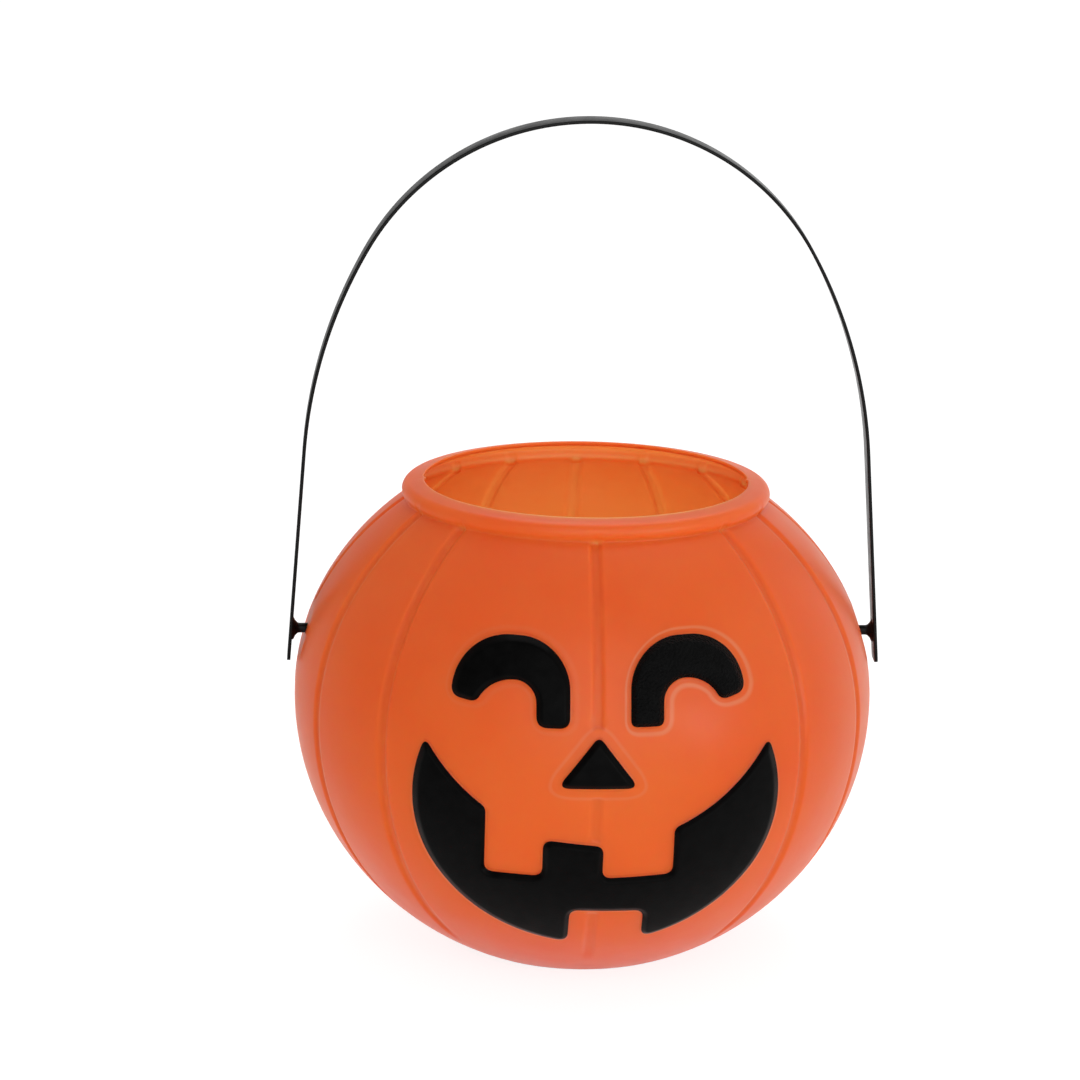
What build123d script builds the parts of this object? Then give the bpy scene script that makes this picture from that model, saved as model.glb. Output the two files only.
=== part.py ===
"""A pumpkin candy pail: a blow-moulded shell with a raised, painted face, and a strap on two snap pegs.

Millimetres, +Z up. The origin is the middle of the foot ring, on the surface that the pail stands on.
The face looks along -Y, and the handle swings about an axis along X.
"""

import os
from math import acos, asin, atan2, copysign, cos, degrees, hypot, radians, sin, sqrt, tan

from build123d import *

# Shell: from the belly line the side runs down to the foot and up to the neck, in two arcs each
wall = 1.3
belly_radius = 85.0
belly_height = 76.0
foot_radius = 32.0
foot_slope = 21.3
neck_radius = 52.5
neck_height = 135.1
neck_slope = 34.6

# Foot: a flat ring round a shallow push-up
heel_round = 12.0
foot_width = 9.0
push_up_flank = 5.0
push_up_height = 2.0

# Collar: a hollow bead that stands on the neck, with a lip that slopes up to its trimmed edge at the mouth
collar_rise = 5.6
collar_overhang = 1.4
bead_radius = 2.7
lip_width = 5.0
lip_slope = 11.4

# Grooves between the segments: the front panel with the face has only its middle one
segment_count = 16
plain_segments = (1, segment_count - 1)
groove_radius = 2.6
groove_depth = 1.0
groove_fade_turn = 10.0
groove_fade_length = 18.0
groove_dimple = 0.6

# Face: raised plateaus with a coat of paint on top, placed from the belly line
face_rise = 1.8
coat_thickness = 0.25
corner_round = 1.0

# Eye: a leg, an arch and a tip, given for the one on the +X side
eye_foot_rise = 13.5
eye_inner_edge = 8.5
eye_leg_width = 8.7
eye_leg_length = 4.3
eye_arch_radius = 8.3
eye_band = 10.9
eye_inner_arc = 13.0
eye_flat = 3.3
eye_outer_arc = 16.0
eye_tip_rise = 1.4
eye_tip_round = 1.9

# Nose: a triangle
nose_foot_drop = 3.7
nose_height = 15.1
nose_half_width = 11.5

# Mouth: a crescent between two lips, with two upper teeth and a lower one left out of it
mouth_drop = 56.0
mouth_gap = 35.0
mouth_bottom_arc = 55.0
mouth_bottom_turn = 50.0
mouth_side_arc = 41.0
mouth_side_turn = 70.0
upper_lip_arc = 54.4
gum_drop = 0.5
upper_tooth_length = 9.7
lower_tooth_length = 11.2
left_tooth_edges = (-31.5, -15.1)
right_tooth_edges = (1.8, 21.9)
lower_tooth_edges = (-6.9, 13.9)

# Handle: a flat strap, bent to an arch, with a peg near each end that snaps into the shell
strap_width = 8.7
strap_thickness = 1.0
strap_gap = 3.95
arch_rise = 151.5
crown_turn = 60.3
strap_side_arc = 141.5
strap_lean = 3.94
tail_length = 9.0
tail_round = 1.2
peg_rise = 19.0
peg_radius = 1.45
peg_clearance = 0.08
flare_radius = 3.5
flare_length = 1.5
snap_radius = 2.4
snap_tip_radius = 1.1
snap_length = 4.0
snap_clearance = 0.4
flat_spot_depth = 0.6
flat_spot_margin = 0.2


def turned(centre, radius, angle):
    """The point of a circle at an angle in degrees."""
    return (centre[0] + radius * cos(radians(angle)), centre[1] + radius * sin(radians(angle)))


def flipped(point):
    """The same point on the other side."""
    return (-point[0], point[1])


def two_arcs(end, turn):
    """Two arcs with equal tangents, as centre and radius, from the belly line to an end, where the side
    has turned by an angle, and the turn at which they meet."""
    way = copysign(1, turn)
    span = Vector(end[0] - belly_radius, end[1] - belly_height)
    start = Vector(0, way)
    both = start + start.rotate(Axis.Z, turn)
    bend = 2 * (1 - cos(radians(turn)))
    tangent = (sqrt(span.dot(both) ** 2 + bend * span.dot(span)) - span.dot(both)) / bend
    between = span - both * tangent
    meeting = way * degrees(atan2(-between.X, way * between.Y))
    first = tangent / tan(radians(abs(meeting) / 2))
    second = tangent / tan(radians(abs(turn - meeting) / 2))
    first_centre = (belly_radius - first, belly_height)
    second_centre = turned(first_centre, first - second, meeting)
    return (first_centre, first), (second_centre, second), meeting


# The side's arcs, and the places that follow from it, as radius and height
lower_arc, under_arc, lower_turn = two_arcs((foot_radius, 0), foot_slope - 90)
upper_arc, shoulder_arc, upper_turn = two_arcs((neck_radius, neck_height), 90 - neck_slope)
foot_inner_radius = foot_radius - foot_width
push_up_radius = foot_inner_radius - push_up_flank
lip_radius = neck_radius - lip_width
lip_height = neck_height + collar_rise
lip_turn = radians(lip_slope)
bead_middle = neck_radius + collar_overhang - bead_radius
lip_drop = (bead_radius + (bead_middle - lip_radius) * sin(lip_turn)) / cos(lip_turn)
bead_centre = (bead_middle, lip_height - lip_drop)


def on_arc(arc, grow, angle):
    """The point at an angle on an arc of the side that is moved out by grow."""
    return turned(arc[0], arc[1] + grow, angle)


def side_arcs(grow, low_turn, high_turn):
    """The side, moved out by grow, from a turn on its under arc to one on its shoulder arc."""
    CenterArc(under_arc[0], under_arc[1] + grow, low_turn, lower_turn - low_turn)
    CenterArc(lower_arc[0], lower_arc[1] + grow, lower_turn, -lower_turn)
    CenterArc(upper_arc[0], upper_arc[1] + grow, 0, upper_turn)
    CenterArc(shoulder_arc[0], shoulder_arc[1] + grow, upper_turn, high_turn - upper_turn)


def draw_body(grow):
    """The section of the pail below its collar, moved out by grow, for the sketch that is being made."""
    floor = -grow
    low_turn = -degrees(asin((under_arc[0][1] - floor) / (under_arc[1] + grow)))
    high_turn = degrees(acos((lip_radius - shoulder_arc[0][0]) / (shoulder_arc[1] + grow)))
    heel = on_arc(under_arc, grow, low_turn)
    neck = on_arc(shoulder_arc, grow, high_turn)
    with BuildSketch(mode=Mode.PRIVATE) as section:
        with BuildLine():
            side_arcs(grow, low_turn, high_turn)
            Polyline(neck, (0, neck[1]), (0, floor), heel)
        make_face()
        fillet(section.vertices().sort_by_distance(heel)[0], heel_round + grow)
    add(section.sketch)


def spun(section):
    """A section spun about Z, with its seam halfway between two grooves."""
    return revolve(section, axis=Axis.Z, mode=Mode.PRIVATE).rotate(Axis.Z, 180 / segment_count)


def body_form(grow):
    """The filled pail below its collar, moved out by grow on every side."""
    with BuildSketch(Plane.XZ) as section:
        draw_body(grow)
    return spun(section.sketch)


def pail_form(grow):
    """The filled pail with its collar, its push-up and its grooves, moved out by grow on every side."""
    collar_foot = neck_height - 2 * wall
    lip_top = lip_height + grow / cos(lip_turn)
    lip_end = turned(bead_centre, bead_radius + grow, 90 - lip_slope)
    with BuildSketch(Plane.XZ) as section:
        draw_body(grow)
        with BuildLine():
            Polyline(
                (0, collar_foot),
                (lip_end[0], collar_foot),
                lip_end,
                (lip_radius, lip_top),
                (0, lip_top),
                close=True,
            )
        make_face()
        with Locations(bead_centre):
            Circle(bead_radius + grow)
        with BuildLine():
            Polyline(
                (0, -grow),
                (foot_inner_radius, -grow),
                (push_up_radius, push_up_height - grow),
                (0, push_up_height - grow),
                close=True,
            )
        make_face(mode=Mode.SUBTRACT)
    with BuildPart() as form:
        add(spun(section.sketch))
        with Locations(*groove_turns):
            add(groove_bar(groove_radius - grow), mode=Mode.SUBTRACT)
    return form.part


def groove_bar(radius):
    """A round bar along the side, which leaves it straight below and ends in a ball at the collar. Its
    seam and the ball's poles stay clear of the shell."""
    lift = groove_radius - groove_depth
    reach = shoulder_arc[1] + lift
    to_bead = (bead_centre[0] - shoulder_arc[0][0], bead_centre[1] - shoulder_arc[0][1])
    ball_distance = bead_radius + groove_radius - groove_dimple
    apart = acos((hypot(*to_bead) ** 2 + reach**2 - ball_distance**2) / (2 * hypot(*to_bead) * reach))
    top_turn = degrees(atan2(to_bead[1], to_bead[0]) - apart)
    low_turn = lower_turn - groove_fade_turn
    top_end = on_arc(shoulder_arc, lift, top_turn)
    low_end = on_arc(under_arc, lift, low_turn)
    fade_end = turned(low_end, groove_fade_length, low_turn - 90)
    outward = (cos(radians(low_turn)), 0, sin(radians(low_turn)))
    with BuildPart() as bar:
        with BuildLine(Plane.XZ) as path:
            Line(fade_end, low_end)
            side_arcs(lift, low_turn, top_turn)
        with BuildSketch(Plane(origin=path.wire() @ 0, x_dir=outward, z_dir=path.wire() % 0)):
            Circle(radius)
        sweep(path=path.wire())
        with Locations((top_end[0], 0, top_end[1])):
            Sphere(radius, rotation=(90, 0, 0))
    return bar.part


groove_turns = [
    Rotation(0, 0, number * 360 / segment_count - 90)
    for number in range(segment_count)
    if number not in plain_segments
]

# Where a peg's axis meets the side, and the size of the flat spot there
peg_height = belly_height + peg_rise
peg_turn = degrees(asin(peg_rise / upper_arc[1]))
peg_mark = on_arc(upper_arc, 0, peg_turn)
flat_spot_radius = sqrt(upper_arc[1] ** 2 - (upper_arc[1] - flat_spot_depth) ** 2) - flat_spot_margin


def flat_spot(side, depth):
    """The plane of a flat spot on one side, at a depth below the shell's surface."""
    point = on_arc(upper_arc, -depth, peg_turn)
    middle = (side * point[0], 0, point[1])
    outward = (side * cos(radians(peg_turn)), 0, sin(radians(peg_turn)))
    return Plane(origin=middle, x_dir=(0, 1, 0), z_dir=outward)


def flattened(form, depth):
    """A filled form with its two flat spots, where the grooves stop."""
    with BuildPart() as part:
        add(form)
        for side in (-1, 1):
            with BuildSketch(flat_spot(side, depth)):
                Circle(2 * flat_spot_radius)
            extrude(amount=flat_spot_radius, mode=Mode.SUBTRACT)
            with BuildSketch(flat_spot(side, depth)):
                Circle(flat_spot_radius)
            extrude(amount=-flat_spot_radius)
    return part.part


def round_corners(outline, corners, radius, spread):
    """Rounds an outline's corners, less where its edge is moved in, down to square ones."""
    if radius + spread > 0:
        found = [outline.vertices().sort_by_distance(corner)[0] for corner in corners]
        fillet(found, radius + spread)


def draw_eye(spread):
    """The +X eye's outline, with its edge moved out by spread."""
    foot = belly_height + eye_foot_rise
    leg_edge = eye_inner_edge + eye_leg_width
    arch_centre = (leg_edge + eye_arch_radius, foot + eye_leg_length)
    top = arch_centre[1] + eye_arch_radius + eye_band
    inner_centre = (eye_inner_edge + eye_inner_arc, top - eye_inner_arc)
    outer_centre = (inner_centre[0] + eye_flat, top - eye_outer_arc)
    arch = eye_arch_radius - spread
    outer_arc = eye_outer_arc + spread
    tip = arch_centre[1] + eye_tip_rise - spread
    tip_turn = degrees(asin((tip - arch_centre[1]) / arch))
    tip_corner = turned(arch_centre, arch, tip_turn)
    outer_turn = degrees(asin((tip - outer_centre[1]) / outer_arc))
    outer_corner = turned(outer_centre, outer_arc, outer_turn)
    foot_corners = ((eye_inner_edge - spread, foot - spread), (leg_edge + spread, foot - spread))
    with BuildSketch(Plane.XZ) as outline:
        with BuildLine():
            Line(foot_corners[0], (eye_inner_edge - spread, inner_centre[1]))
            CenterArc(inner_centre, eye_inner_arc + spread, 180, -90)
            Line((inner_centre[0], top + spread), (outer_centre[0], top + spread))
            CenterArc(outer_centre, outer_arc, 90, outer_turn - 90)
            Line(outer_corner, tip_corner)
            CenterArc(arch_centre, arch, tip_turn, 180 - tip_turn)
            Polyline((arch_centre[0] - arch, arch_centre[1]), foot_corners[1], foot_corners[0])
        make_face()
        round_corners(outline, foot_corners, corner_round, spread)
        round_corners(outline, (outer_corner, tip_corner), eye_tip_round, spread)
    return outline.sketch


def draw_nose(spread):
    """The nose's outline, with its edge moved out by spread."""
    slope = hypot(nose_half_width, nose_height)
    foot = belly_height - nose_foot_drop - spread
    top = belly_height - nose_foot_drop + nose_height + spread * slope / nose_half_width
    half_width = nose_half_width * (top - foot) / nose_height
    with BuildSketch(Plane.XZ) as outline:
        with BuildLine():
            Polyline((0, top), (half_width, foot), (-half_width, foot), close=True)
        make_face()
        round_corners(outline, [(v.X, v.Y) for v in outline.vertices()], corner_round, spread)
    return outline.sketch


def cut_tooth(edges, low, high, spread):
    """A tooth, cut out of the mouth between two edges and two heights, narrowed by spread."""
    with Locations(((edges[0] + edges[1]) / 2, (low + high) / 2)):
        Rectangle(edges[1] - edges[0] - 2 * spread, high - low, mode=Mode.SUBTRACT)


def draw_mouth(spread):
    """The mouth's outline, with its edge moved out by spread."""
    bottom = belly_height - mouth_drop
    upper_lip = bottom + mouth_gap
    upper_teeth = upper_lip - upper_tooth_length + spread
    lower_tooth = bottom + lower_tooth_length - spread
    bottom_centre = (0, bottom + mouth_bottom_arc)
    join_turn = mouth_bottom_turn - 90
    side_centre = turned(bottom_centre, mouth_bottom_arc - mouth_side_arc, join_turn)
    side_end = turned(side_centre, mouth_side_arc + spread, join_turn + mouth_side_turn)
    join = turned(bottom_centre, mouth_bottom_arc + spread, join_turn)
    gum_edges = (left_tooth_edges[0], right_tooth_edges[1])
    with BuildSketch(Plane.XZ) as outline:
        with BuildLine():
            CenterArc(bottom_centre, mouth_bottom_arc + spread, -join_turn - 180, 2 * mouth_bottom_turn)
            CenterArc(side_centre, mouth_side_arc + spread, join_turn, mouth_side_turn)
            Line(side_end, flipped(side_end))
            CenterArc(flipped(side_centre), mouth_side_arc + spread, 180 - join_turn, -mouth_side_turn)
        make_face()
        with Locations((0, upper_lip + upper_lip_arc)):
            Circle(upper_lip_arc - spread, mode=Mode.SUBTRACT)
        cut_tooth(gum_edges, upper_lip - gum_drop + spread, side_end[1], spread)
        cut_tooth(left_tooth_edges, upper_teeth, side_end[1], spread)
        cut_tooth(right_tooth_edges, upper_teeth, side_end[1], spread)
        cut_tooth(lower_tooth_edges, bottom - mouth_gap, lower_tooth, spread)
        corners = [(v.X, v.Y) for v in outline.vertices()]
        corners = [c for c in corners if hypot(abs(c[0]) - join[0], c[1] - join[1]) > corner_round]
        round_corners(outline, corners, corner_round, spread)
    return outline.sketch


def face_layer(outline, top, bottom=None):
    """All that lies behind an outline, up to one skin of the pail, and down to another if it is given."""
    with BuildPart() as layer:
        extrude(outline, amount=2 * belly_radius)
        add(body_form(top), mode=Mode.INTERSECT)
        if bottom is not None:
            add(body_form(bottom), mode=Mode.SUBTRACT)
    return layer.part


def mirrored(part):
    """The same piece on the other side of the face."""
    return mirror(part, about=Plane.YZ)


# Plateaus of the face, and the hollows behind them
plateau_rise = face_rise - coat_thickness
face_outlines = (draw_eye, draw_nose, draw_mouth)
plateaus = [face_layer(draw(0), plateau_rise) for draw in face_outlines]
hollows = [face_layer(draw(-wall), plateau_rise - wall) for draw in face_outlines]

with BuildPart() as cavity:
    add(flattened(pail_form(-wall), flat_spot_depth + wall))
    with BuildSketch(Plane.XY.offset(neck_height)):
        Circle(lip_radius)
    extrude(amount=2 * collar_rise)
    add(hollows)
    add(mirrored(hollows[0]))

with BuildPart() as pail_shell:
    add(flattened(pail_form(0), flat_spot_depth))
    add(plateaus)
    add(mirrored(plateaus[0]))
    add(cavity.part, mode=Mode.SUBTRACT)
    with BuildSketch(Plane.YZ):
        with Locations((0, peg_height)):
            Circle(peg_radius + peg_clearance)
    extrude(amount=belly_radius, both=True, mode=Mode.SUBTRACT)

# Coats of paint on the plateaus
with BuildPart() as right_eye_coat:
    add(face_layer(draw_eye(0), face_rise, plateau_rise))

with BuildPart() as left_eye_coat:
    add(mirrored(right_eye_coat.part))

with BuildPart() as nose_coat:
    add(face_layer(draw_nose(0), face_rise, plateau_rise))

with BuildPart() as mouth_coat:
    add(face_layer(draw_mouth(0), face_rise, plateau_rise))

# Handle: the crown's arc follows from the span between the pegs
strap_at_peg = on_arc(upper_arc, -flat_spot_depth, peg_turn)[0] + strap_gap + strap_thickness / 2
lean = radians(strap_lean)
turn = radians(crown_turn)
side_share = cos(lean) - sin(turn) + tan(lean) * (sin(lean) - cos(turn))
crown_share = sin(turn) - tan(lean) * (1 - cos(turn))
crown_arc = (strap_at_peg - strap_side_arc * side_share - arch_rise * tan(lean)) / crown_share
crown_centre = (0, peg_height + arch_rise - crown_arc)
side_centre = turned(crown_centre, crown_arc - strap_side_arc, 90 - crown_turn)
leg_top = turned(side_centre, strap_side_arc, strap_lean)
tail_end = (strap_at_peg + tail_length * tan(lean), peg_height - tail_length)

# The snap head's shoulder clears the slanted inside of the wall
inside_at_peg = on_arc(upper_arc, -flat_spot_depth - wall, peg_turn)
inside_slant = tan(radians(peg_turn)) * (peg_height + snap_radius - inside_at_peg[1])
snap_shoulder = inside_at_peg[0] - inside_slant - snap_clearance

with BuildPart() as handle_strap:
    with BuildLine(Plane.XZ) as arch:
        Line(tail_end, leg_top)
        CenterArc(side_centre, strap_side_arc, strap_lean, 90 - crown_turn - strap_lean)
        CenterArc(crown_centre, crown_arc, 90 - crown_turn, 2 * crown_turn)
        CenterArc(flipped(side_centre), strap_side_arc, 90 + crown_turn, 90 - crown_turn - strap_lean)
        Line(flipped(leg_top), flipped(tail_end))
    with BuildSketch(Plane(origin=arch.wire() @ 0, x_dir=(0, 1, 0), z_dir=arch.wire() % 0)):
        Rectangle(strap_width, strap_thickness)
    sweep(path=arch.wire())
    tail_corners = handle_strap.edges().filter_by(lambda edge: abs(edge.length - strap_thickness) < 0.01)
    fillet(tail_corners, tail_round)
    for side in (-1, 1):
        with BuildSketch(Plane.XZ):
            with BuildLine():
                Polyline(
                    (side * strap_at_peg, peg_height),
                    (side * strap_at_peg, peg_height + flare_radius),
                    (side * (strap_at_peg - strap_thickness / 2), peg_height + flare_radius),
                    (side * (strap_at_peg - strap_thickness / 2 - flare_length), peg_height + peg_radius),
                    (side * snap_shoulder, peg_height + peg_radius),
                    (side * snap_shoulder, peg_height + snap_radius),
                    (side * (snap_shoulder - snap_length), peg_height + snap_tip_radius),
                    (side * (snap_shoulder - snap_length), peg_height),
                    close=True,
                )
            make_face()
        revolve(axis=Axis((0, 0, peg_height), (1, 0, 0)))

os.makedirs("parts", exist_ok=True)
pieces = {
    "pail_shell": pail_shell,
    "left_eye_coat": left_eye_coat,
    "right_eye_coat": right_eye_coat,
    "nose_coat": nose_coat,
    "mouth_coat": mouth_coat,
    "handle_strap": handle_strap,
}
for name, piece in pieces.items():
    piece.part.label = name
    export_step(piece.part, f"parts/{name}.step")
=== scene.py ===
"""The looks of the pumpkin candy pail: its shell, the paint on its face, its strap, and the photo's view.

Forms are worked out in millimetres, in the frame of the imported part, and become metres in make_piece.
"""

from functools import partial
from math import acos, asin, atan2, ceil, copysign, cos, degrees, hypot, pi, radians, sin, sqrt, tan
from types import SimpleNamespace

import bpy
import numpy as np
from mathutils import Matrix, Vector
from mathutils.geometry import delaunay_2d_cdt


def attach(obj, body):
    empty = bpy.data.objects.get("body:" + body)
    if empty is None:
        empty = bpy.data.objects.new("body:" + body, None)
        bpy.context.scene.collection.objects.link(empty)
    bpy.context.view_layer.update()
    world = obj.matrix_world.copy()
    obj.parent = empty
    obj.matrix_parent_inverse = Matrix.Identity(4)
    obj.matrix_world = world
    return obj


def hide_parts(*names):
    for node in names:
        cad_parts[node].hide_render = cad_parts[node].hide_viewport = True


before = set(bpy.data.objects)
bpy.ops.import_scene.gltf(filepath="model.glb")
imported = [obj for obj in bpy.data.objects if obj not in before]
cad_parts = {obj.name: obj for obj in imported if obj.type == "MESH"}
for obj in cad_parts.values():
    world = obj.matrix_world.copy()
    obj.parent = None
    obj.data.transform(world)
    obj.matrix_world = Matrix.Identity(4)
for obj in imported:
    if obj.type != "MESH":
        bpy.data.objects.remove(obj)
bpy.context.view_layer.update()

scene = bpy.context.scene
millimetre = 0.001

# Shell: from the belly line the side runs down to the foot and up to the neck, in two arcs each
wall = 1.3
belly_radius = 85.0
belly_height = 76.0
foot_radius = 32.0
foot_slope = 21.3
neck_radius = 52.5
neck_height = 135.1
neck_slope = 34.6
heel_round = 12.0
foot_inner_radius = 23.0
push_up_radius = 18.0
push_up_height = 2.0
push_up_round = 1.0
middle_ring = 1.0

# Collar: a hollow bead, and a lip that slopes up to its trimmed edge, with a nick at each parting line
neck_room = 0.7
neck_crease = (0.3, 0.15)
lip_radius = 47.5
lip_height = 140.7
lip_slope = 11.4
lip_edge_round = 0.4
collar_radius = 53.9
bead_radius = 2.7
bead_foot_turn = -32
hollow_end_turn = -20
hollow_ridge = (0.4, 2.0)
parting_turns = (90.0, 270.0)
nick_depth = 0.7
nick_turn = 1.1
nick_reach = 2.0

# Grooves between the segments, softer inside, and fainter below the nose
segment_count = 16
segment = 360 / segment_count
plain_segments = (1, segment_count - 1)
groove_half_width = 2.1
groove_floor = 0.7
groove_depth = 0.75
groove_fade_turn = 45.3
groove_fade_length = 13.0
groove_below_nose = 0.9
inner_groove_share = 0.85
inner_groove_width = 1.15
dimple_depth = 0.45
dimple_size = 2.4

# Face: plateaus with a painted shoulder and a soft foot, and a faint crease further out
face_rise = 1.8
flank_foot = 0.7
flank_shoulder = 1.9
crease_step = 0.14
crease_width = 0.8
crease_room = 0.6
crease_clearance = 3 * crease_room
foot_spreads = (flank_foot, 0.4, 0.12)
paint_lift = 0.06
paint_thickness = 0.2
under_paint = 0.12
smallest_round = 0.15
paint_spreads = (0.0, -0.15, -0.45, -0.8, -1.2, -1.55, -flank_shoulder)

# Eyes, each given as if it stood on the +X side, with the way its crease slips and its real side
right_eye = SimpleNamespace(
    inner_edge=9.1, leg_edge=18.4, outer_edge=41.6, foot=89.4, top=112.8, inner_arc=13.4, outer_arc=16.3,
    arch_start=95.9, arch=6.0, tip_arch=11.0, tip_inner=94.9, tip_outer=96.6, foot_round=1.6, tip_round=2.4,
    slip=(0.33, -0.3), side=1,
)
left_eye = SimpleNamespace(
    inner_edge=7.9, leg_edge=17.3, outer_edge=40.8, foot=88.9, top=112.6, inner_arc=13.5, outer_arc=17.0,
    arch_start=95.4, arch=5.9, tip_arch=11.7, tip_inner=94.3, tip_outer=95.3, foot_round=2.5, tip_round=2.3,
    slip=(-0.3, 0.0), side=-1,
)

# Nose
nose_middle = 0.2
nose_top = 87.1
nose_foot = 71.9
nose_half_width = 11.6
nose_round = 1.5

# Mouth, with the corners of its teeth from left to right
mouth_middle = 0.5
mouth_bottom = 18.7
mouth_bottom_arc = 53.9
mouth_bottom_turn = 56.0
mouth_side_arc = 41.9
upper_lip = 54.8
upper_lip_arc = 56.3
mouth_tip_round = 1.1
tooth_round = 2.2
left_tooth = ((-31.0, 43.9), (-14.8, 43.9))
gum = ((-14.8, 55.8), (2.2, 54.1))
right_tooth = ((2.2, 43.5), (22.2, 44.2))
lower_tooth = ((-6.5, 31.9), (14.5, 31.5))

# Panels of the shell that get their own mesh: turn of the middle, half the width, and two heights
face_panel = (0.0, 42.3, 15.0, 118.0)
side_panels = [(turn, segment / 2, 80.0, 110.0) for turn in parting_turns]

# Steps between the points of the meshes, room at a panel's edges, and the turns of columns at a groove
floor_step = 5.0
foot_step = 3.0
heel_step = 1.2
row_step = 2.5
shoulder_step = 1.5
bead_step = 0.4
lip_step = 0.9
fill_step = 2.0
ring_step = 0.9
top_step = 2.6
paint_step = 0.7
groove_steps = (0, 0.5, 1.0, 1.5, 2.0, 2.6, 3.6)
edge_room = 0.6 * fill_step
top_room = 0.4 * fill_step
groove_turns = (0, 0.4, 0.8, 1.2, 1.6, 2.1, 2.7)
plain_turns = 6
turn_room = 0.8
turn_slack = 0.01
join_distance = 1e-5

# Bends: their points, and for a round corner its reach for a radius of 1 and its length for a reach of 1
bend_points = 6
edge_points = 5
ridge_points = 8
least_points = 4
corner_reach = 1.25
corner_length = 1.7

# Strap, pegs, and the flat spots with the pegs' holes
strap_width = 8.7
strap_thickness = 1.0
strap_edge_round = 0.3
strap_gap = 3.95
peg_height = 95.0
arch_top = 246.5
crown_turn = 60.3
strap_side_arc = 141.5
strap_lean = 3.94
tail_length = 9.0
tail_round = 1.2
tail_shares = (0, 0.05, 0.2, 0.5)
leg_step = 3.0
strap_side_step = 2.5
crown_step = 2.0
section_points = 5
peg_points = 32
peg_radius = 1.45
peg_clearance = 0.08
peg_root = 0.3
flare_radius = 3.5
flare_length = 1.5
flare_edge = (0.25, 0.15)
flare_dip = 0.2
flare_end = (0.6, 0.1)
snap_radius = 2.4
snap_edge = (0.25, 0.2)
snap_tip_radius = 1.1
snap_tip_edge = (0.3, 0.1)
snap_tip_round = 0.2
snap_shoulder = 79.17
snap_length = 4.0
spot_depth = 0.6
spot_radius = 8.77
spot_edge = 0.4
spot_clearance = 3 * spot_edge
spot_points = 60
spot_rings = ((2.6, 24), (4.6, 30), (6.8, 40), (spot_radius, spot_points))
hole_points = 24

# The photo's camera: it stands to the left of the middle and above the belly line
camera_turn = 3.3
camera_rise = 16.02
camera_distance = 1400.0
camera_aim = (-13.18, 0.0, 121.94)
camera_roll = 0.945
camera_lens = 157.5

# Colours of the shell: the deepest and the palest of its clouds, and the painted highlight along the
# creases round the plateaus
deep_orange = (0.97, 0.081, 0.009)
pale_orange = (0.985, 0.1, 0.013)
highlight_orange = (0.95, 0.19, 0.08)

# Floor, in metres: its glow for the camera and in reflections, where it fades towards the left
floor_size = 40.0
floor_glow = 1.22
floor_glow_share = 0.7
floor_fade = (-0.25, -0.1)
floor_left_glow = 0.55

# Studio: its strength, and in reflections the way to its dark side, that side's edge and both strengths
studio_strength = 0.68
dark_side = (-0.5, 0.0, 0.95)
dark_side_edge = (0.0, 0.5)
reflected_strengths = (1.0, 0.25)

# Lamps, in metres and watts: place, point aimed at, size and power
lamps = {
    "front": ((0.05, -1.3, 0.55), (0, 0, 0.08), 1.4, 8.4),
    "side": ((0.95, -1.0, 0.22), (0, 0, 0.08), 0.3, 2.9),
    "top": ((0.1, 0.45, 1.0), (0, 0, 0.1), 0.8, 4.0),
}


def turned(centre, radius, angle):
    """The point of a circle at an angle in degrees."""
    return (centre[0] + radius * cos(radians(angle)), centre[1] + radius * sin(radians(angle)))


def two_arcs(end, turn):
    """Two arcs with equal tangents, as centre and radius, from the belly line to an end, where the side
    has turned by an angle, and the turn at which they meet."""
    way = copysign(1, turn)
    span = np.array(end) - (belly_radius, belly_height)
    both = np.array((0, way)) + turned((0, 0), 1, 90 * way + turn)
    bow = 2 * (1 - cos(radians(turn)))
    along = span @ both
    tangent = (sqrt(along**2 + bow * (span @ span)) - along) / bow
    between = span - both * tangent
    meeting = way * degrees(atan2(-between[0], way * between[1]))
    first = tangent / tan(radians(abs(meeting) / 2))
    second = tangent / tan(radians(abs(turn - meeting) / 2))
    first_centre = (belly_radius - first, belly_height)
    second_centre = turned(first_centre, first - second, meeting)
    return (first_centre, first), (second_centre, second), meeting


lower_arc, under_arc, lower_turn = two_arcs((foot_radius, 0), foot_slope - 90)
upper_arc, shoulder_arc, upper_turn = two_arcs((neck_radius, neck_height), 90 - neck_slope)
side_arcs = np.array([(*centre, size) for centre, size in (under_arc, lower_arc, upper_arc, shoulder_arc)])
lower_join = turned(*lower_arc, lower_turn)[1]
upper_join = turned(*upper_arc, upper_turn)[1]
bead_middle = collar_radius - bead_radius
lip_sine = sin(radians(lip_slope))
lip_drop = (bead_radius + (bead_middle - lip_radius) * lip_sine) / cos(radians(lip_slope))
bead_centre = (bead_middle, lip_height - lip_drop)
peg_turn = degrees(asin((peg_height - belly_height) / upper_arc[1]))


def skin_radius(height, grow):
    """The side's radius at heights, for the side moved out by grow."""
    stretch = np.searchsorted((lower_join, belly_height, upper_join), height, side="right")
    centre_radius, centre_height, size = side_arcs[stretch].T
    return centre_radius + np.sqrt(np.maximum((size + grow) ** 2 - (height - centre_height) ** 2, 0))


def arc(centre, radius, start, end, step):
    """Points along an arc between two angles in degrees, at most a step apart."""
    count = max(2, ceil(abs(radians(end - start)) * radius / step) + 1)
    return [turned(centre, radius, angle) for angle in np.linspace(start, end, count)]


def line(start, end, step):
    """Points along a line, at most a step apart."""
    count = max(2, ceil(hypot(end[0] - start[0], end[1] - start[1]) / step) + 1)
    return [tuple(place) for place in np.linspace(start, end, count)]


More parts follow.
